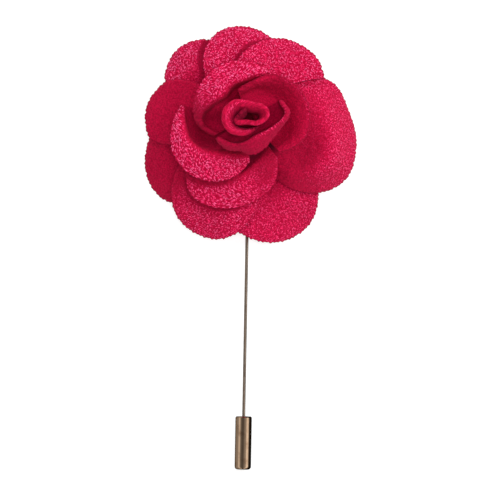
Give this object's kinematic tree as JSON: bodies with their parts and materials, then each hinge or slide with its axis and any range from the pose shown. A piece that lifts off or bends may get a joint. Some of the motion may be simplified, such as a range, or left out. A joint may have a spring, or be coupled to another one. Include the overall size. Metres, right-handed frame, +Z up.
{
  "type": "flower lapel pin",
  "caption": "Cloth flower lapel pin: layered petals around a rolled bud, on a straight needle whose point sits in a barrel cap that pulls off.",
  "frame": {"origin": "centre of the bounding box, on the surface that the pin lies on", "axes": "+Z up out of the flower's face, +Y along the needle from its point towards the flower, +X to the right of the flower seen from above with the needle pointing down"},
  "size_m": [0.0482, 0.1002, 0.0197],
  "materials": {
    "outer_petals": "crinkled cloth",
    "inner_petals": "crinkled cloth",
    "bud": "crinkled cloth",
    "backing": "felt",
    "needle_metal": "satin",
    "cap_metal": "polished warm nickel"
  },
  "bodies": {
    "root": {"petal_top": "outer_petals", "petal_upper_right": "outer_petals", "petal_right": "outer_petals", "petal_lower_right": "outer_petals", "petal_lower_left": "outer_petals", "petal_left": "outer_petals", "petal_upper_left": "outer_petals", "petal_top_left": "outer_petals", "inner_upper_left": "inner_petals", "inner_right": "inner_petals", "inner_lower_left": "inner_petals", "inner_bottom": "inner_petals", "bud_wrap": "bud", "bud_coil": "bud", "backing_disc": "backing", "needle": "needle_metal"},
    "cap": {"barrel_cap": "cap_metal"}
  },
  "joints": [
    {"name": "cap_slide", "type": "slide", "parent": "root", "child": "cap", "axis": [0, -1, 0], "range_m": [0, 0.02]}
  ]
}
